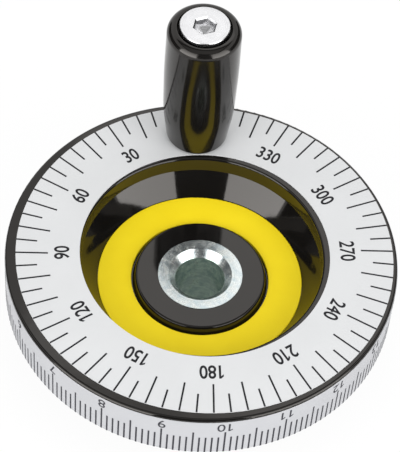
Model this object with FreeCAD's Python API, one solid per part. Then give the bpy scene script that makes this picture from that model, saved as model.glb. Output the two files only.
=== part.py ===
import FreeCAD, Part
import math
import os

# Graduated machine handwheel with a revolving side handle.
# Frame: Z is the bore axis, Z = 0 is the back of the hub, the handle stands on +Y.
# All lengths are millimetres, all angles degrees.

# Wheel as a whole
wheel_radius = 62.5
face_height = 42.0
rim_width = 18.0

# Graduated band stuck in a groove round the rim, almost flush with the outer lip
band_thickness = 0.5
band_proud = 0.1
band_top_drop = 1.4
band_top_gap = 0.1
band_seam = 0.4
band_seam_turn = 4.7

# Black lips of the moulding on both sides of the dial
outer_lip_width = 2.4
outer_lip_round = 0.95
inner_lip_width = 1.2
inner_lip_round = 0.8

# Face dial, a thin flat ring stuck on the front of the rim, a little off centre
dial_thickness = 0.3
dial_shift_x = 1.0
dial_shift_y = 0.4

# Dish in front of the hub
dish_wall_depth = 5.9
dish_wall_draft = 0.2
dish_slope_run = 5.3
dish_floor_depth = 14.9
dish_step = 1.3

# Yellow ring on the dish floor
accent_width = 10.85
accent_thickness = 1.2
accent_hub_gap = 0.4
accent_rim_gap = 0.1
accent_edge = 0.25

# Hub boss of the moulding, and the steel insert moulded into it
hub_radius = 21.75
hub_rise = 3.2
hub_edge_round = 1.0
hub_front_draft = 0.9
hub_back_draft = 1.25
hub_back_recess = 0.5
hub_back_round = 1.0
insert_radius = 13.6
insert_proud = 0.2
insert_waist_depth = 0.8
insert_waist_width = 6.0
bore_radius = 8.0
bore_front_chamfer = 2.25
bore_back_chamfer = 0.5

# Back of the moulding: web, finger trough and rim wall
web_thickness = 6.4
web_fillet = 4.0
trough_fillet = 3.0
trough_roof_thickness = 7.5
trough_wall_thickness = 6.2
trough_wall_draft = 0.6
rim_edge_round = 1.0
dish_wall_thickness = 5.5
flute_count = 36
flute_depth = 1.2
flute_tip_radius = 4.5

# Handle on the rim
handle_inset = 12.8
bush_radius = 7.0
bush_length = 14.0
bush_boss_wall = 3.0
bush_floor = 1.5
thread_radius = 3.6
thread_clearance = 0.02
thread_length = 12.0
spindle_radius = 5.0
spindle_hole_clearance = 0.3
head_radius = 8.0
head_height = 6.0
head_proud = 1.0
head_chamfer = 0.2
socket_across_flats = 6.0
socket_depth = 3.0
socket_lead = 0.5
socket_drill_radius = 2.6
socket_drill_point = 1.5
socket_turn = 16.0
grip_radius = 12.05
grip_foot_taper = 2.0
grip_top_taper = 0.2
grip_length = 50.8
grip_base_round = 1.2
grip_top_round = 2.9
grip_knee_height = 12.7
grip_knee_drop = 0.4
grip_knee_round = 80.0
grip_belly_height = 31.0
grip_belly_round = 300.0
grip_running_gap = 0.06
grip_end_gap = 0.3
grip_head_gap = 0.85

# Radii that follow from the sizes above
band_seat_radius = wheel_radius - band_thickness
lip_radius = wheel_radius - band_proud
dial_outer_radius = lip_radius - outer_lip_width
accent_inner_radius = hub_radius + accent_hub_gap
accent_outer_radius = accent_inner_radius + accent_width
dish_floor_radius = accent_outer_radius + accent_rim_gap
dish_corner_radius = dish_floor_radius + dish_slope_run
dish_mouth_radius = dish_corner_radius + dish_wall_draft
dial_inner_radius = dish_mouth_radius + inner_lip_width
handle_circle_radius = wheel_radius - handle_inset

# Heights that follow from the sizes above
rim_face = face_height - dial_thickness
rim_bottom = face_height - rim_width
band_top = face_height - band_top_drop
groove_top = band_top + band_top_gap
dish_floor = face_height - dish_floor_depth
hub_top = dish_floor + hub_rise
insert_top = hub_top + insert_proud
web_underside = dish_floor - web_thickness
trough_roof = rim_face - trough_roof_thickness
grip_bottom = face_height + grip_end_gap
grip_top = grip_bottom + grip_length
head_top = grip_top + head_proud
head_seat = head_top - head_height

Z_AXIS = FreeCAD.Vector(0, 0, 1)
ORIGIN = FreeCAD.Vector(0, 0, 0)
HEXAGON_SIDES = 6
HANDLE_FOOT = FreeCAD.Vector(0, handle_circle_radius, 0)
DIAL_CENTRE = FreeCAD.Vector(dial_shift_x, dial_shift_y, 0)


def point(radius, height):
    """Point of a turned outline, in the XZ plane."""
    return FreeCAD.Vector(radius, 0, height)


def corner_arc(before, corner, after, rounding):
    """Start, middle and end of the arc that rounds a corner."""
    towards_before = (before - corner).normalize()
    towards_after = (after - corner).normalize()
    half_angle = towards_before.getAngle(towards_after) / 2
    inset = rounding / math.tan(half_angle)
    bisector = (towards_before + towards_after).normalize()
    reach = rounding / math.sin(half_angle) - rounding
    return corner + towards_before * inset, corner + bisector * reach, corner + towards_after * inset


def outline(corners):
    """Closed wire through (radius, height, rounding) corners, with rounded corners as arcs."""
    places = [point(radius, height) for radius, height, rounding in corners]
    spans = []
    for index, (radius, height, rounding) in enumerate(corners):
        here = places[index]
        if rounding == 0:
            spans.append((here, None, here))
            continue
        after = places[(index + 1) % len(places)]
        spans.append(corner_arc(places[index - 1], here, after, rounding))
    edges = []
    for index, (start, middle, end) in enumerate(spans):
        if middle is not None:
            edges.append(Part.Arc(start, middle, end).toShape())
        next_start = spans[(index + 1) % len(spans)][0]
        if end.distanceToPoint(next_start) > Part.Precision.confusion():
            edges.append(Part.LineSegment(end, next_start).toShape())
    return Part.Wire(edges)


def turned(corners):
    """Solid of revolution about Z."""
    return Part.Face(outline(corners)).revolve(ORIGIN, Z_AXIS, 360)


def rod(radius, bottom, top, foot=ORIGIN):
    """Upright cylinder between two heights."""
    return Part.makeCylinder(radius, top - bottom, foot + FreeCAD.Vector(0, 0, bottom), Z_AXIS)


def hexagon(across_flats, height):
    """Closed level hexagon round the handle's axis, turned as the socket is."""
    side_angle = 2 * math.pi / HEXAGON_SIDES
    corner_radius = across_flats / 2 / math.cos(side_angle / 2)
    points = []
    for index in range(HEXAGON_SIDES + 1):
        angle = math.radians(socket_turn) + side_angle * index
        place = FreeCAD.Vector(corner_radius * math.cos(angle), corner_radius * math.sin(angle), height)
        points.append(HANDLE_FOOT + place)
    return Part.makePolygon(points)


def make_socket():
    """Cutter of the hexagon socket, with a lead that opens towards the head's top and a drill point below."""
    floor = head_top - socket_depth
    lead_bottom = head_top - socket_lead
    mouth = socket_across_flats + 2 * socket_lead
    prism = Part.Face(hexagon(socket_across_flats, floor))
    prism = prism.extrude(FreeCAD.Vector(0, 0, lead_bottom - floor))
    lead = Part.makeLoft([hexagon(socket_across_flats, lead_bottom), hexagon(mouth, head_top)], True)
    point_tip = HANDLE_FOOT + FreeCAD.Vector(0, 0, floor - socket_drill_point)
    drill_point = Part.makeCone(0, socket_drill_radius, socket_drill_point, point_tip, Z_AXIS)
    return prism.fuse([lead, drill_point])


def insert_waist():
    """Corners of the waist that locks the hub insert in the moulding, from bottom to top."""
    middle = hub_top / 2
    low = middle - insert_waist_width / 2
    high = middle + insert_waist_width / 2
    return [
        (insert_radius, low, 0),
        (insert_radius - insert_waist_depth, low, 0),
        (insert_radius - insert_waist_depth, high, 0),
        (insert_radius, high, 0),
    ]


def back_of_dish():
    """Corner where the dish wall's back meets the trough roof, and where it meets the web."""
    slope_top = point(dish_corner_radius, face_height - dish_wall_depth)
    slope_foot = point(dish_floor_radius, dish_floor + dish_step)
    along = (slope_top - slope_foot).normalize()
    outward = FreeCAD.Vector(along.z, 0, -along.x)
    behind = slope_foot + outward * dish_wall_thickness
    at_roof = behind + along * ((trough_roof - behind.z) / along.z)
    at_web = behind + along * ((web_underside - behind.z) / along.z)
    return at_roof, at_web


def make_flute_cutter(trough_radius):
    """Cone that cuts one finger flute on +X, deepest at the rim's back edge and fading out under the roof."""
    tip = trough_roof - trough_fillet
    spread = (flute_depth + trough_wall_draft) / (tip - rim_bottom)
    start = rim_bottom - rim_edge_round
    start_radius = flute_tip_radius + spread * (tip - start)
    foot = FreeCAD.Vector(trough_radius - flute_tip_radius, 0, start)
    return Part.makeCone(start_radius, flute_tip_radius, tip - start, foot, Z_AXIS)


def ring_pattern(shape, count):
    """Copies of a shape spread evenly round Z, the first half a step off its own place."""
    step = 360 / count
    copies = []
    for index in range(count):
        copies.append(shape.rotated(ORIGIN, Z_AXIS, step * (index + 0.5)))
    return copies


def make_wheel_body():
    """Phenolic moulding: hub boss, web, dish, rim and lips, with a trough for the fingers behind."""
    at_roof, at_web = back_of_dish()
    trough_radius = band_seat_radius - trough_wall_thickness
    body = turned([
        (insert_radius, hub_back_recess, 0),
        (hub_radius - hub_back_draft, hub_back_recess, hub_back_round),
        (hub_radius, web_underside, web_fillet),
        (at_web.x, web_underside, trough_fillet),
        (at_roof.x, trough_roof, trough_fillet),
        (trough_radius, trough_roof, trough_fillet),
        (trough_radius + trough_wall_draft, rim_bottom, rim_edge_round),
        (band_seat_radius, rim_bottom, 0),
        (band_seat_radius, groove_top, 0),
        (lip_radius, groove_top, 0),
        (lip_radius, rim_face, outer_lip_round),
        (dish_mouth_radius, rim_face, inner_lip_round),
        (dish_corner_radius, face_height - dish_wall_depth, 0),
        (dish_floor_radius, dish_floor + dish_step, 0),
        (dish_floor_radius, dish_floor, 0),
        (hub_radius, dish_floor, 0),
        (hub_radius - hub_front_draft, hub_top, hub_edge_round),
        (insert_radius, hub_top, 0),
    ] + insert_waist()[::-1])
    body = body.cut(ring_pattern(make_flute_cutter(trough_radius), flute_count))
    boss_bottom = rim_face - bush_length - bush_floor
    boss = rod(bush_radius + bush_boss_wall, boss_bottom, rim_face - trough_roof_thickness / 2, HANDLE_FOOT)
    body = body.fuse(boss).removeSplitter()
    return body.cut(rod(bush_radius, rim_face - bush_length, face_height, HANDLE_FOOT))


def make_hub_insert():
    """Plated steel insert with the through bore, its back face the seat against the shaft shoulder."""
    return turned([
        (bore_radius + bore_back_chamfer, 0, 0),
        (insert_radius, 0, 0),
    ] + insert_waist() + [
        (insert_radius, insert_top, 0),
        (bore_radius + bore_front_chamfer, insert_top, 0),
        (bore_radius, insert_top - bore_front_chamfer, 0),
        (bore_radius, bore_back_chamfer, 0),
    ])


def make_face_dial():
    """Flat aluminium ring for the degree scale, with a hole for the handle spindle."""
    ring = rod(dial_outer_radius, rim_face, face_height, DIAL_CENTRE)
    ring = ring.cut(rod(dial_inner_radius, rim_face, face_height, DIAL_CENTRE))
    return ring.cut(rod(spindle_radius + spindle_hole_clearance, rim_face, face_height, HANDLE_FOOT))


def make_rim_scale():
    """Aluminium strip bent round the rim, its ends meeting at a seam behind the handle."""
    band = rod(wheel_radius, rim_bottom, band_top)
    band = band.cut(rod(band_seat_radius, rim_bottom, band_top))
    seam_corner = FreeCAD.Vector(-band_seam / 2, band_seat_radius / 2, rim_bottom)
    seam = Part.makeBox(band_seam, wheel_radius, band_top - rim_bottom, seam_corner)
    return band.cut(seam.rotated(ORIGIN, Z_AXIS, band_seam_turn))


def make_accent_ring():
    """Yellow ring lying on the dish floor."""
    top = dish_floor + accent_thickness
    return turned([
        (accent_inner_radius, dish_floor, 0),
        (accent_outer_radius, dish_floor, 0),
        (accent_outer_radius, top, accent_edge),
        (accent_inner_radius, top, accent_edge),
    ])


def make_handle_bush():
    """Threaded bush moulded into the rim under the handle."""
    bush = rod(bush_radius, rim_face - bush_length, rim_face, HANDLE_FOOT)
    hole_bottom = rim_face - thread_length - bush_floor / 2
    return bush.cut(rod(thread_radius + thread_clearance, hole_bottom, rim_face, HANDLE_FOOT))


def make_handle_spindle():
    """Shoulder screw on which the grip turns, with a hexagon socket in its head."""
    screw = turned([
        (0, rim_face - thread_length, 0),
        (thread_radius, rim_face - thread_length, 0),
        (thread_radius, rim_face, 0),
        (spindle_radius, rim_face, 0),
        (spindle_radius, head_seat, 0),
        (head_radius, head_seat, 0),
        (head_radius, head_top - head_chamfer, 0),
        (head_radius - head_chamfer, head_top, 0),
        (0, head_top, 0),
    ])
    screw.translate(HANDLE_FOOT)
    return screw.cut(make_socket())


def make_handle_grip():
    """Phenolic sleeve that turns freely on the spindle, barrel shaped and tapering to its foot."""
    bore = spindle_radius + grip_running_gap
    counterbore = head_radius + grip_head_gap
    counterbore_floor = head_seat - grip_end_gap
    grip = turned([
        (bore, grip_bottom, 0),
        (grip_radius - grip_foot_taper, grip_bottom, grip_base_round),
        (grip_radius - grip_knee_drop, grip_bottom + grip_knee_height, grip_knee_round),
        (grip_radius, grip_bottom + grip_belly_height, grip_belly_round),
        (grip_radius - grip_top_taper, grip_top, grip_top_round),
        (counterbore, grip_top, 0),
        (counterbore, counterbore_floor, 0),
        (bore, counterbore_floor, 0),
    ])
    grip.translate(HANDLE_FOOT)
    return grip


PIECES = {
    "wheel_body": make_wheel_body,
    "hub_insert": make_hub_insert,
    "face_dial": make_face_dial,
    "rim_scale": make_rim_scale,
    "accent_ring": make_accent_ring,
    "handle_bush": make_handle_bush,
    "handle_spindle": make_handle_spindle,
    "handle_grip": make_handle_grip,
}

os.makedirs("parts", exist_ok=True)
for name, make in PIECES.items():
    shape = make()
    shape.exportStep("parts/" + name + ".step")
    print(name, "solids", len(shape.Solids), "valid", shape.isValid(), "volume", round(shape.Volume, 1))
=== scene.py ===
import math

import bmesh
import bpy
from mathutils import Matrix, Vector


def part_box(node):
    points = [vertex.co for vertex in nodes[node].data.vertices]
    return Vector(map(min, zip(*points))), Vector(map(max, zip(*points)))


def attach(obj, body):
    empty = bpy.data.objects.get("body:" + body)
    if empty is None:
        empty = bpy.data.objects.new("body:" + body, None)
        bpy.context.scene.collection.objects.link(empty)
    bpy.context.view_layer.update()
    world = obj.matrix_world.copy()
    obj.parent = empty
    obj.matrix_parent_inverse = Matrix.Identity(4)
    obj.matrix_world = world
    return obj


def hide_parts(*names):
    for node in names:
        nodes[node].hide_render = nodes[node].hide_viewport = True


# Graduated machine handwheel: finishes, printed scales, camera and light.
# Metres, in the part's own frame: Z is the bore axis, the handle stands on +Y.
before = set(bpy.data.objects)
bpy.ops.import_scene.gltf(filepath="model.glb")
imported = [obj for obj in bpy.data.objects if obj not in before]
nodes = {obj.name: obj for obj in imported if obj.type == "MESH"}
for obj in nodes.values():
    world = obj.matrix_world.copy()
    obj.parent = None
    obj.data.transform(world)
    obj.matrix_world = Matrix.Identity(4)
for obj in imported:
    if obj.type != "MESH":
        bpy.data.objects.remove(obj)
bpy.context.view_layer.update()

MM = 0.001

# Places taken from the boxes of the imported parts
dial_low, dial_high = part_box("face_dial")
band_low, band_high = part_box("rim_scale")
screw_low, screw_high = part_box("handle_spindle")
dial_centre = (dial_low + dial_high) / 2
dial_radius = (dial_high.x - dial_low.x) / 2
dial_face = dial_high.z
rim_radius = band_high.x
band_bottom = band_low.z
band_top = band_high.z
bore_axis = Vector((0, 0, 0))
dial_axis = Vector((dial_centre.x, dial_centre.y, 0))
handle_axis = Vector(((screw_low.x + screw_high.x) / 2, (screw_low.y + screw_high.y) / 2, 0))

# Degree scale printed on the dial, its lines running a little beside the centre
FULL_TURN = 360
DEGREE_STEP = 5
DEGREE_LONG_EVERY = 10
DEGREE_FIGURE_EVERY = 30
FIGURE_TURN = math.radians(0.5)
LINE_TURN = math.radians(-1.42)
LINE_OFFSET = -1.81 * MM
LONG_LINE = 10.2 * MM
SHORT_LINE = 6.6 * MM
LINE_END = 0.03 * MM
DIAL_LINE_WIDTH = 0.57 * MM
FIGURE_FOOT_RADIUS = 43.2 * MM
FIGURE_HEIGHT = 4.65 * MM
FIGURE_PITCH = 2.65 * MM
FIGURE_BOLDNESS = 0.018

# Scale printed on the band, numbered the other way up, which ends a little short of its start
RIM_UNITS = 20
RIM_DIVISIONS = 10
RIM_UNIT_ANGLE = math.radians(17.855)
RIM_LONG_LINE = 11.2 * MM
RIM_SHORT_LINE = 8.4 * MM
RIM_LINE_WIDTH = 0.54 * MM
RIM_FIGURE_HEIGHT = 4.0 * MM
RIM_FIGURE_PITCH = 2.75 * MM
RIM_FIGURE_TOP = 0.95 * MM
RIM_FIGURE_BOLDNESS = 0.004

# Figures in the font's units: thickness, smoothness, and limits for making them bolder
FIGURE_HALF_THICKNESS = 0.5
FIGURE_CURVE_STEPS = 6
FIGURE_MERGE = 1e-4
FIGURE_WALL_LEAN = 0.5
FIGURE_CORNER_LIMIT = 0.5

# Figure one with a flag, which the built-in font lacks, in the font's units
ONE_MIDDLE = 0.05
ONE_HALF_WIDTH = 0.049
ONE_HEIGHT = 0.682
FLAG_REACH = 0.14
FLAG_FALL = 0.11
FLAG_DEPTH = 0.09

# Thickness of the printing, how far its foot sinks into the metal, its two levels and the ways it can stand
INK_PROUD = 0.02 * MM
INK_FOOT = 0.01 * MM
FOOT_LEVEL = 0
TOP_LEVEL = 1
UPRIGHT = 1
UPSIDE_DOWN = -1

# Strip that stands for the band, a little thinner, so that its printing stays within the rim's radius
STRIP_PROUD_ROOM = 0.03 * MM
STRIP_BEVEL = 0.12 * MM
STRIP_SEAM = 0.4 * MM
STRIP_SEAM_TURN = math.radians(4.7)
STRIP_STEPS = 720

# Edges below this angle are smooth, and a normal's sideways part below the stray is an error of the facets
SMOOTH_ANGLE = math.radians(30)
TURNING_STRAY = 0.04

# Rounds of the body's lips and hub: radius and height of the centre, and the round's own radius
OUTER_LIP_ROUND = (61.45 * MM, 40.75 * MM, 0.95 * MM)
INNER_LIP_ROUND = (39.37 * MM, 40.90 * MM, 0.80 * MM)
HUB_ROUND = (20.09 * MM, 29.30 * MM, 1.00 * MM)
ROUND_FIT = 0.012 * MM

# White, the level part of a place, and the range of a noise that colours and numbers run over
WHITE = (1.0, 1.0, 1.0)
OPAQUE_WHITE = (*WHITE, 1.0)
LEVEL_PART = (1, 1, 0)
NOISE_LOW = 0.3
NOISE_HIGH = 0.7

# Width over which a metal's tint near the axis ends, and how much lighter the ink can be
CORE_EDGE = 0.3 * MM
INK_UNEVENNESS = 1.6

# Colour sockets of a mix node
MIX_FIRST_COLOUR = 6
MIX_SECOND_COLOUR = 7
MIX_RESULT_COLOUR = 2

# Camera at the photograph's angle
CAMERA_EYE = Vector((-42.5, -387.3, 568.1)) * MM
CAMERA_AIM = Vector((-0.29, 10.58, 42.09)) * MM
CAMERA_ROLL = math.radians(4.97)
CAMERA_LENS = 164.3

# Floor of white paper, with the shade that it keeps under the hub, where its white glow fades out: painted
# shade over the paper's real shade
FLOOR_HALF = 3.0
FLOOR_DROP = 0.2 * MM
FLOOR_LIFT = 0.92
SHADE_INNER = 12 * MM
SHADE_OUTER = 45 * MM
PAPER_SCALE = 6.0

# Dark cards for the reflections: in front, above and at both sides
CARD_FRONT = -0.9
CARD_SIDE = 0.95
CARD_TOP = 1.4
FRONT_CARD_HALF = 0.36
CEILING_CARD_BACK = 0.7
SIDE_CARD_FRONT = -0.27
SIDE_CARD_BACK = 1.5
SIDE_CARD_TOP = 0.6

# Soft level of the surround
AMBIENT = 0.75

# Upright light panels left and right in front, with the share of their strength left at the top
PANEL_PLACE = Vector((0.731, -0.682, 0.65))
PANEL_SIZE = (0.93, 1.3)
LEFT_PANEL_POWER = 21.0
LEFT_PANEL_TOP = 0.1
RIGHT_PANEL_POWER = 17.5
RIGHT_PANEL_TOP = 0.33

# Soft lights at the back and above
BACK_PLACE = Vector((0.19, 0.557, 0.853))
BACK_SIZE = (0.51, 0.25)
BACK_POWER = 0.31
TOP_PLACE = Vector((0, -0.2, 1.3))
TOP_SIZE = (1.4, 1.0)
TOP_POWER = 2.2


# Node helpers

def add_node(tree, kind, values=None, **settings):
    """Shader node with its settings, and its inputs set or linked."""
    node = tree.nodes.new("ShaderNode" + kind)
    for name, value in settings.items():
        setattr(node, name, value)
    for name, value in (values or {}).items():
        if isinstance(value, bpy.types.NodeSocket):
            tree.links.new(value, node.inputs[name])
        else:
            node.inputs[name].default_value = value
    return node


def new_material(name, **constants):
    """Principled material with the constants set on the shader's own sockets."""
    material = bpy.data.materials.new(name)
    material.use_nodes = True
    tree = material.node_tree
    tree.nodes.clear()
    values = {key.replace("_", " "): value for key, value in constants.items()}
    shader = add_node(tree, "BsdfPrincipled", values)
    add_node(tree, "OutputMaterial", {"Surface": shader.outputs["BSDF"]})
    return material, tree, shader


def link_finish(tree, shader, **sockets):
    """Links colour, roughness and normal to the shader."""
    for name, socket in sockets.items():
        tree.links.new(socket, shader.inputs[name.replace("_", " ")])


def noise(tree, place, scale, detail=3.0, roughness=0.55):
    """Noise over object coordinates, its scale in features per metre."""
    values = {"Vector": place, "Scale": scale, "Detail": detail, "Roughness": roughness}
    return add_node(tree, "TexNoise", values).outputs["Fac"]


def ramp(tree, factor, dark, light, low=NOISE_LOW, high=NOISE_HIGH):
    """Colour that runs from dark to light while the factor runs from low to high."""
    node = add_node(tree, "ValToRGB", {"Fac": factor})
    first, last = node.color_ramp.elements
    first.position, last.position = low, high
    first.color, last.color = (*dark, 1.0), (*light, 1.0)
    return node.outputs["Color"]


def spread(tree, factor, low, high):
    """Number that runs from low to high with a factor."""
    values = {"Value": factor, "From Min": NOISE_LOW, "From Max": NOISE_HIGH, "To Min": low, "To Max": high}
    return add_node(tree, "MapRange", values).outputs["Result"]


def bump(tree, height, strength, distance):
    """Normal from a height."""
    values = {"Height": height, "Strength": strength, "Distance": distance}
    return add_node(tree, "Bump", values).outputs["Normal"]


def multiply(tree, first, second):
    """Product of two colours."""
    node = add_node(tree, "Mix", data_type="RGBA", blend_type="MULTIPLY")
    node.inputs["Factor"].default_value = 1.0
    tree.links.new(first, node.inputs[MIX_FIRST_COLOUR])
    tree.links.new(second, node.inputs[MIX_SECOND_COLOUR])
    return node.outputs[MIX_RESULT_COLOUR]


def object_place(tree):
    """Object coordinates, which are metres in the part's frame."""
    return add_node(tree, "TexCoord").outputs["Object"]


# Materials

def black_phenolic(name, low_roughness, high_roughness):
    """Polished black moulding, with faint flow marks and a slightly wavy skin."""
    material, tree, shader = new_material(name, IOR=1.47, Specular_Tint=(1.0, 0.955, 0.91, 1.0))
    place = object_place(tree)
    flow = noise(tree, place, scale=60.0, detail=4.0)
    haze = noise(tree, place, scale=420.0, detail=5.0, roughness=0.6)
    skin = noise(tree, place, scale=190.0, detail=2.0)
    link_finish(
        tree, shader,
        Base_Color=ramp(tree, flow, dark=(0.0050, 0.0046, 0.0043), light=(0.0074, 0.0068, 0.0064), low=0.35),
        Roughness=spread(tree, haze, low=low_roughness, high=high_roughness),
        Normal=bump(tree, skin, strength=0.02, distance=0.4 * MM),
    )
    return material


def satin_aluminium(name, dark, light):
    """Satin anodised sheet with a fine grain."""
    material, tree, shader = new_material(name, Metallic=0.1, IOR=1.5)
    place = object_place(tree)
    cloud = noise(tree, place, scale=45.0, detail=4.0)
    grain = noise(tree, place, scale=5200.0, detail=2.0)
    link_finish(
        tree, shader,
        Base_Color=ramp(tree, cloud, dark, light),
        Roughness=spread(tree, grain, low=0.42, high=0.52),
        Normal=bump(tree, grain, strength=0.05, distance=0.02 * MM),
    )
    return material


def yellow_paint():
    """Satin yellow ring with a faint mottle."""
    material, tree, shader = new_material("yellow_ring", IOR=1.46, Specular_IOR_Level=0.15)
    place = object_place(tree)
    mottle = noise(tree, place, scale=110.0, detail=5.0)
    link_finish(
        tree, shader,
        Base_Color=ramp(tree, mottle, dark=(0.93, 0.71, 0.013), light=(0.96, 0.745, 0.015)),
        Roughness=spread(tree, noise(tree, place, scale=700.0), low=0.42, high=0.52),
        Normal=bump(tree, noise(tree, place, scale=900.0), strength=0.05, distance=0.05 * MM),
    )
    return material


def turned_metal(
    name, axis, *, dark, light, stain, core, rim, core_radius, pitch, roughness, depth, metallic=1.0,
):
    """Turned and plated metal: tool rings about an axis, cloudy stains, and tints near and off the axis."""
    material, tree, shader = new_material(name, Metallic=metallic)
    place = object_place(tree)
    away = add_node(tree, "VectorMath", {0: place, 1: axis}, operation="SUBTRACT").outputs["Vector"]
    level = add_node(tree, "VectorMath", {0: away, 1: LEVEL_PART}, operation="MULTIPLY").outputs["Vector"]
    radius = add_node(tree, "VectorMath", {0: level}, operation="LENGTH").outputs["Value"]
    height = add_node(tree, "SeparateXYZ", {"Vector": place}).outputs["Z"]
    around = add_node(tree, "CombineXYZ", {"X": radius, "Y": height}).outputs["Vector"]
    rings = noise(tree, around, scale=1 / pitch, roughness=0.6)
    cloud = noise(tree, place, scale=420.0, detail=5.0, roughness=0.65)
    limits = {"Value": radius, "From Min": core_radius - CORE_EDGE, "From Max": core_radius}
    outside = add_node(tree, "MapRange", limits).outputs["Result"]
    stains = ramp(tree, cloud, stain, WHITE, low=0.38, high=0.6)
    colour = multiply(tree, ramp(tree, rings, dark, light), stains)
    link_finish(
        tree, shader,
        Base_Color=multiply(tree, colour, ramp(tree, outside, core, rim, low=0.0, high=1.0)),
        Roughness=spread(tree, cloud, *roughness),
        Normal=bump(tree, rings, strength=0.5, distance=depth),
    )
    return material


def scale_ink(name, colour):
    """Printed ink, a little uneven."""
    material, tree, shader = new_material(name, IOR=1.45, Specular_IOR_Level=0.15)
    place = object_place(tree)
    lighter = tuple(channel * INK_UNEVENNESS for channel in colour)
    link_finish(
        tree, shader,
        Base_Color=ramp(tree, noise(tree, place, scale=1500.0), colour, lighter),
        Roughness=spread(tree, noise(tree, place, scale=2500.0), low=0.45, high=0.6),
    )
    return material


# Mesh helpers

def make_piece(name, mesh, material, body="wheel"):
    """Object from a bmesh, riding on a body."""
    bmesh.ops.recalc_face_normals(mesh, faces=mesh.faces[:])
    data = bpy.data.meshes.new(name)
    mesh.to_mesh(data)
    mesh.free()
    data.materials.append(material)
    piece = bpy.data.objects.new(name, data)
    bpy.context.scene.collection.objects.link(piece)
    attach(piece, body)
    return piece


def add_bar(mesh, place, middle, width, start, end):
    """Closed thin bar of printing about a middle line, from start to end, laid by a place function."""
    left, right = middle - width / 2, middle + width / 2
    outline = ((left, start), (right, start), (right, end), (left, end))
    foot = [mesh.verts.new(place(across, along, FOOT_LEVEL)) for across, along in outline]
    top = [mesh.verts.new(place(across, along, TOP_LEVEL)) for across, along in outline]
    mesh.faces.new(foot[::-1])
    mesh.faces.new(top)
    for index in range(len(outline)):
        after = (index + 1) % len(outline)
        mesh.faces.new((foot[index], foot[after], top[after], top[index]))


def flagged_one():
    """Mesh of a figure one with a flag, one unit thick."""
    left, right = ONE_MIDDLE - ONE_HALF_WIDTH, ONE_MIDDLE + ONE_HALF_WIDTH
    flag_top = ONE_HEIGHT - FLAG_FALL
    outline = (
        (right, 0), (right, ONE_HEIGHT), (left, ONE_HEIGHT), (-FLAG_REACH, flag_top),
        (-FLAG_REACH, flag_top - FLAG_DEPTH), (left, ONE_HEIGHT - FLAG_DEPTH), (left, 0),
    )
    count = len(outline)
    corners = [(x, y, z) for z in (-FIGURE_HALF_THICKNESS, FIGURE_HALF_THICKNESS) for x, y in outline]
    faces = [range(count)[::-1], range(count, 2 * count)]
    for index in range(count):
        after = (index + 1) % count
        faces.append((index, after, after + count, index + count))
    data = bpy.data.meshes.new("figure")
    data.from_pydata(corners, [], faces)
    return data


def figure_data(text):
    """Mesh of a figure or a number, centred, one unit thick, with its size in font units."""
    if text == "1":
        return flagged_one()
    curve = bpy.data.curves.new("figure", "FONT")
    curve.body = text
    curve.align_x = "CENTER"
    curve.extrude = FIGURE_HALF_THICKNESS
    curve.resolution_u = FIGURE_CURVE_STEPS
    holder = bpy.data.objects.new("figure", curve)
    data = bpy.data.meshes.new_from_object(holder)
    bpy.data.objects.remove(holder)
    bpy.data.curves.remove(curve)
    return data


def figure_sizes():
    """Height and pitch of the built-in font's figures."""
    single, double = figure_data("0"), figure_data("00")
    heights = [vertex.co.y for vertex in single.vertices]
    widths = []
    for data in (single, double):
        across = [vertex.co.x for vertex in data.vertices]
        widths.append(max(across) - min(across))
        bpy.data.meshes.remove(data)
    return max(heights) - min(heights), widths[1] - widths[0]


FONT_HEIGHT, FONT_PITCH = figure_sizes()


def embolden(figure, distance):
    """Moves the walls of a number outwards by a distance."""
    shifts = {}
    for vertex in figure.verts:
        walls = [face.normal for face in vertex.link_faces if abs(face.normal.z) < FIGURE_WALL_LEAN]
        total = sum(walls, Vector()) / len(walls)
        shifts[vertex] = total * distance / max(total.length_squared, FIGURE_CORNER_LIMIT)
    for vertex, shift in shifts.items():
        vertex.co += shift


def add_figure(mesh, place, text, height, pitch, boldness):
    """Number of a height, pitch and boldness, its foot at zero, laid by a place function."""
    tall, wide = height / FONT_HEIGHT, pitch / FONT_PITCH
    for index, digit in enumerate(text):
        data = figure_data(digit)
        figure = bmesh.new()
        figure.from_mesh(data)
        bpy.data.meshes.remove(data)
        bmesh.ops.remove_doubles(figure, verts=figure.verts[:], dist=FIGURE_MERGE)
        bmesh.ops.recalc_face_normals(figure, faces=figure.faces[:])
        embolden(figure, boldness)
        shift = (index - (len(text) - 1) / 2) * FONT_PITCH
        copies = {}
        for vertex in figure.verts:
            level = TOP_LEVEL if vertex.co.z > 0 else FOOT_LEVEL
            copies[vertex] = mesh.verts.new(place((vertex.co.x + shift) * wide, vertex.co.y * tall, level))
        for face in figure.faces:
            mesh.faces.new([copies[vertex] for vertex in face.verts])
        figure.free()


# Printed scales

def dial_place(angle, foot):
    """Place function on the dial: across, outward from a radius, and foot or top of the printing."""
    outward = Vector((-math.sin(angle), math.cos(angle), 0))
    across = Vector((math.cos(angle), math.sin(angle), 0))
    heights = (dial_face - INK_FOOT, dial_face + INK_PROUD)

    def place(x, y, level):
        return dial_axis + across * x + outward * (foot + y) + Vector((0, 0, heights[level]))

    return place


def rim_place(angle, foot, direction):
    """Place function on the band: along the rim, up or down from a height, and foot or top of the print."""
    radii = (rim_radius - STRIP_PROUD_ROOM - INK_FOOT, rim_radius)

    def place(x, y, level):
        turn = angle + direction * x / rim_radius
        radius = radii[level]
        return Vector((-radius * math.sin(turn), radius * math.cos(turn), foot + direction * y))

    return place


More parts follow.
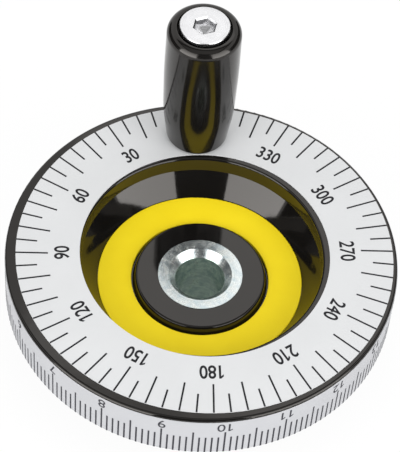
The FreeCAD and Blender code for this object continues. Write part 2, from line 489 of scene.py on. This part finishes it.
def make_dial_scale(ink):
    """Lines every five degrees and numbers every thirty."""
    lines = bmesh.new()
    figures = bmesh.new()
    for degrees in range(0, FULL_TURN, DEGREE_STEP):
        angle = math.radians(degrees)
        length = LONG_LINE if degrees % DEGREE_LONG_EVERY == 0 else SHORT_LINE
        place = dial_place(angle + LINE_TURN, dial_radius)
        add_bar(lines, place, LINE_OFFSET, DIAL_LINE_WIDTH, -length, -LINE_END)
        if degrees % DEGREE_FIGURE_EVERY == 0:
            place = dial_place(angle + FIGURE_TURN, FIGURE_FOOT_RADIUS)
            add_figure(figures, place, str(degrees), FIGURE_HEIGHT, FIGURE_PITCH, FIGURE_BOLDNESS)
    make_piece("dial_lines", lines, ink)
    make_piece("dial_figures", figures, ink)


def make_rim_scale(ink):
    """Lines rising from the band's back edge, with twenty numbers that read from behind."""
    lines = bmesh.new()
    figures = bmesh.new()
    count = RIM_UNITS * RIM_DIVISIONS
    blank = 2 * math.pi - RIM_UNITS * RIM_UNIT_ANGLE
    for index in range(count + 1):
        angle = STRIP_SEAM_TURN + blank / 2 + index * RIM_UNIT_ANGLE / RIM_DIVISIONS
        length = RIM_LONG_LINE if index % (RIM_DIVISIONS // 2) == 0 else RIM_SHORT_LINE
        add_bar(lines, rim_place(angle, band_bottom, UPRIGHT), 0, RIM_LINE_WIDTH, 0, length)
        if index % RIM_DIVISIONS == 0 and index < count:
            place = rim_place(angle, band_top - RIM_FIGURE_TOP, UPSIDE_DOWN)
            number = str(index // RIM_DIVISIONS)
            add_figure(figures, place, number, RIM_FIGURE_HEIGHT, RIM_FIGURE_PITCH, RIM_FIGURE_BOLDNESS)
    make_piece("rim_lines", lines, ink)
    make_piece("rim_figures", figures, ink)


def make_strip(material):
    """Metal strip round the rim with softened edges, its ends apart at the seam behind the handle."""
    outer = rim_radius - STRIP_PROUD_ROOM
    inner = min(vertex.co.xy.length for vertex in nodes["rim_scale"].data.vertices)
    low, high = band_bottom, band_top
    profile = (
        (inner, low), (outer - STRIP_BEVEL, low), (outer, low + STRIP_BEVEL),
        (outer, high - STRIP_BEVEL), (outer - STRIP_BEVEL, high), (inner, high),
    )
    half_seam = STRIP_SEAM / 2 / rim_radius
    strip = bmesh.new()
    rings = []
    for step in range(STRIP_STEPS + 1):
        angle = STRIP_SEAM_TURN + half_seam + (2 * math.pi - 2 * half_seam) * step / STRIP_STEPS
        sine, cosine = math.sin(angle), math.cos(angle)
        rings.append([strip.verts.new((-radius * sine, radius * cosine, z)) for radius, z in profile])
    count = len(profile)
    for here, there in zip(rings, rings[1:]):
        for index in range(count):
            after = (index + 1) % count
            strip.faces.new((here[index], here[after], there[after], there[index]))
    strip.faces.new(rings[0])
    strip.faces.new(rings[-1][::-1])
    piece = make_piece("rim_strip", strip, material)
    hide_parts("rim_scale")


# Finishes on the CAD nodes

def round_normal(away, rounds):
    """True normal at a place, taken from its axis, if it lies on one of the rounds."""
    outward = Vector((away.x, away.y, 0)).normalized()
    for centre_radius, centre_height, radius in rounds:
        reach = away - outward * centre_radius - Vector((0, 0, centre_height))
        if reach.z > -ROUND_FIT and abs(reach.length - radius) < ROUND_FIT:
            return reach.normalized()
    return None


def true_turning(data, axis, rounds):
    """Shading normals without the errors that facets give a turned surface and its rounds."""
    normals = []
    for loop, normal in zip(data.loops, data.corner_normals):
        away = data.vertices[loop.vertex_index].co - axis
        sideways = Vector((-away.y, away.x, 0)).normalized()
        stray = normal.vector.dot(sideways)
        turned = normal.vector - sideways * stray if abs(stray) < TURNING_STRAY else normal.vector
        normals.append(round_normal(away, rounds) or turned.normalized())
    data.normals_split_custom_set(normals)


def dress(name, material, axis, rounds=()):
    """Gives a CAD node its material and smooth curved faces about an axis."""
    data = nodes[name].data
    data.materials.clear()
    data.materials.append(material)
    data.shade_smooth()
    data.set_sharp_from_angle(angle=SMOOTH_ANGLE)
    true_turning(data, axis, rounds)


phenolic = black_phenolic("black_phenolic", low_roughness=0.045, high_roughness=0.08)
grip_phenolic = black_phenolic("grip_phenolic", low_roughness=0.11, high_roughness=0.15)
dial_metal = satin_aluminium("dial_aluminium", dark=(0.595, 0.602, 0.608), light=(0.622, 0.629, 0.635))
strip_metal = satin_aluminium("strip_aluminium", dark=(0.345, 0.348, 0.363), light=(0.37, 0.373, 0.388))
zinc = turned_metal(
    "plated_steel", bore_axis, metallic=0.9,
    dark=(0.70, 0.76, 0.73), light=(0.92, 0.95, 0.93), stain=(0.66, 0.71, 0.75),
    core=(0.925, 1.0, 0.925), rim=(0.90, 0.89, 0.895), core_radius=8.3 * MM,
    pitch=0.45 * MM, roughness=(0.16, 0.3), depth=0.05 * MM,
)
bright = turned_metal(
    "bright_screw", handle_axis,
    dark=(0.60, 0.60, 0.61), light=(0.82, 0.82, 0.83), stain=(0.88, 0.88, 0.88),
    core=WHITE, rim=WHITE, core_radius=3.5 * MM,
    pitch=0.45 * MM, roughness=(0.22, 0.3), depth=0.012 * MM,
)
brass = turned_metal(
    "bush_brass", handle_axis,
    dark=(0.66, 0.50, 0.22), light=(0.74, 0.58, 0.28), stain=(0.85, 0.85, 0.85),
    core=(0.80, 0.80, 0.80), rim=WHITE, core_radius=3.7 * MM,
    pitch=0.5 * MM, roughness=(0.25, 0.35), depth=0.02 * MM,
)
dial_ink = scale_ink("dial_ink", (0.014, 0.014, 0.016))
rim_ink = scale_ink("rim_ink", (0.022, 0.022, 0.027))

dress("wheel_body", phenolic, bore_axis, (OUTER_LIP_ROUND, INNER_LIP_ROUND, HUB_ROUND))
dress("hub_insert", zinc, bore_axis)
dress("face_dial", dial_metal, dial_axis)
dress("rim_scale", strip_metal, bore_axis)
dress("accent_ring", yellow_paint(), bore_axis)
dress("handle_bush", brass, handle_axis)
dress("handle_spindle", bright, handle_axis)
dress("handle_grip", grip_phenolic, handle_axis)

make_strip(strip_metal)
make_dial_scale(dial_ink)
make_rim_scale(rim_ink)


# Camera

def looking(place, aim):
    """Matrix of a camera or light that stands at a place and looks at an aim."""
    return Matrix.Translation(place) @ (aim - place).to_track_quat("-Z", "Y").to_matrix().to_4x4()


def make_camera():
    """Camera that looks from the eye at the aim, rolled about its own axis."""
    data = bpy.data.cameras.new("camera")
    data.lens = CAMERA_LENS
    camera = bpy.data.objects.new("camera", data)
    bpy.context.scene.collection.objects.link(camera)
    camera.matrix_world = looking(CAMERA_EYE, CAMERA_AIM) @ Matrix.Rotation(CAMERA_ROLL, 4, "Z")
    bpy.context.scene.camera = camera


# Studio

def seen_rays(tree):
    """One for rays from the camera, a reflection or a clear surface, and zero for the rest."""
    path = add_node(tree, "LightPath")
    seen = path.outputs["Is Camera Ray"]
    for name in ("Is Glossy Ray", "Is Transmission Ray"):
        seen = add_node(tree, "Math", {0: seen, 1: path.outputs[name]}, operation="MAXIMUM").outputs["Value"]
    return seen


def make_sheet(name, corners, material):
    """Flat stage sheet through its corners."""
    data = bpy.data.meshes.new(name)
    data.from_pydata(corners, [], [range(len(corners))])
    data.materials.append(material)
    sheet = bpy.data.objects.new(name, data)
    bpy.context.scene.collection.objects.link(sheet)
    return sheet


def floor_paper():
    """Matt white paper that glows white away from the object; the glow fades out towards the hub, a painted
    shade there over the real shade that the paper keeps.
    """
    material, tree, shader = new_material("floor", Roughness=0.9)
    place = object_place(tree)
    shade = ramp(tree, noise(tree, place, PAPER_SCALE), dark=(0.90, 0.90, 0.90), light=(0.92, 0.92, 0.92))
    link_finish(tree, shader, Base_Color=shade)
    # Glow that fades out towards the axis, painting a shade under the wheel
    away = add_node(tree, "VectorMath", {0: place}, operation="LENGTH").outputs["Value"]
    limits = {"Value": away, "From Min": SHADE_INNER, "From Max": SHADE_OUTER, "To Max": FLOOR_LIFT}
    fade = add_node(tree, "MapRange", limits, interpolation_type="SMOOTHSTEP").outputs["Result"]
    lift = add_node(tree, "Math", {0: seen_rays(tree), 1: fade}, operation="MULTIPLY").outputs["Value"]
    glow = add_node(tree, "Emission", {"Color": OPAQUE_WHITE, "Strength": 1.0})
    mixed = add_node(tree, "MixShader", {0: lift, 1: shader.outputs["BSDF"], 2: glow.outputs["Emission"]})
    tree.links.new(mixed.outputs["Shader"], tree.get_output_node("ALL").inputs["Surface"])
    return material


def make_floor():
    """Plain pale floor under the hub."""
    reach = FLOOR_HALF
    corners = [(-reach, -reach), (reach, -reach), (reach, reach), (-reach, reach)]
    make_sheet("floor", [(x, y, -FLOOR_DROP) for x, y in corners], floor_paper())


def card_black():
    """Matt black of the cards."""
    material, tree, shader = new_material("black_card", Roughness=1.0, Specular_IOR_Level=0.0)
    grain = noise(tree, object_place(tree), PAPER_SCALE)
    shade = ramp(tree, grain, dark=(0.002, 0.002, 0.002), light=(0.004, 0.004, 0.004))
    link_finish(tree, shader, Base_Color=shade)
    return material


def make_dark_cards():
    """Black cards that only reflections see."""
    half, front, top = FRONT_CARD_HALF, CARD_FRONT, CARD_TOP
    left, right, back = -CARD_SIDE, CARD_SIDE, CEILING_CARD_BACK
    cards = {
        "front_card": [(-half, front, 0), (half, front, 0), (half, front, top), (-half, front, top)],
        "ceiling_card": [(left, front, top), (right, front, top), (right, back, top), (left, back, top)],
    }
    for name, x in (("left_card", left), ("right_card", right)):
        foot = [(x, y, 0) for y in (SIDE_CARD_FRONT, SIDE_CARD_BACK)]
        head = [(x, y, SIDE_CARD_TOP) for y in (SIDE_CARD_BACK, SIDE_CARD_FRONT)]
        cards[name] = foot + head
    material = card_black()
    for name, corners in cards.items():
        card = make_sheet(name, corners, material)
        card.visible_camera = False
        card.visible_diffuse = False
        card.visible_transmission = False
        card.visible_shadow = False


def make_softbox(name, place, aim, size, power):
    """Rectangular soft light."""
    data = bpy.data.lights.new(name, "AREA")
    data.shape = "RECTANGLE"
    data.size, data.size_y = size
    data.energy = power
    light = bpy.data.objects.new(name, data)
    bpy.context.scene.collection.objects.link(light)
    light.matrix_world = looking(place, aim)
    return light


def grade(light, first, last):
    """Lets a light's strength run from first at its foot to last at its top."""
    light.data.use_nodes = True
    tree = light.data.node_tree
    tree.nodes.clear()
    spot = add_node(tree, "NewGeometry").outputs["Parametric"]
    height = add_node(tree, "SeparateXYZ", {"Vector": spot}).outputs["Y"]
    limits = {"Value": height, "To Min": first, "To Max": last}
    strength = add_node(tree, "MapRange", limits).outputs["Result"]
    emission = add_node(tree, "Emission", {"Strength": strength})
    add_node(tree, "OutputLight", {"Surface": emission.outputs["Emission"]})


def make_lights():
    """Graded panels in front, and plain soft lights at the back and above."""
    for name, side, power, top in (
        ("softbox_left", -1, LEFT_PANEL_POWER, LEFT_PANEL_TOP),
        ("softbox_right", 1, RIGHT_PANEL_POWER, RIGHT_PANEL_TOP),
    ):
        place = Vector((side * PANEL_PLACE.x, PANEL_PLACE.y, PANEL_PLACE.z))
        panel = make_softbox(name, place, Vector((0, 0, place.z)), PANEL_SIZE, power)
        grade(panel, first=1.0, last=top)
    make_softbox("softbox_back", BACK_PLACE, Vector((0, 0, dial_face)), BACK_SIZE, BACK_POWER)
    make_softbox("softbox_top", TOP_PLACE, Vector((TOP_PLACE.x, TOP_PLACE.y, 0)), TOP_SIZE, TOP_POWER)


def make_world():
    """White surround for what the camera and reflections see, and a soft ambient level for the rest."""
    world = bpy.data.worlds.new("studio")
    world.use_nodes = True
    tree = world.node_tree
    tree.nodes.clear()
    seen = seen_rays(tree)
    soft = add_node(tree, "Background", {"Color": OPAQUE_WHITE, "Strength": AMBIENT})
    white = add_node(tree, "Background", {"Color": OPAQUE_WHITE, "Strength": 1.0})
    mixed = add_node(
        tree, "MixShader", {0: seen, 1: soft.outputs["Background"], 2: white.outputs["Background"]}
    )
    add_node(tree, "OutputWorld", {"Surface": mixed.outputs["Shader"]})
    bpy.context.scene.world = world


make_camera()
make_floor()
make_world()
make_dark_cards()
make_lights()

bpy.context.scene.view_settings.view_transform = "Standard"
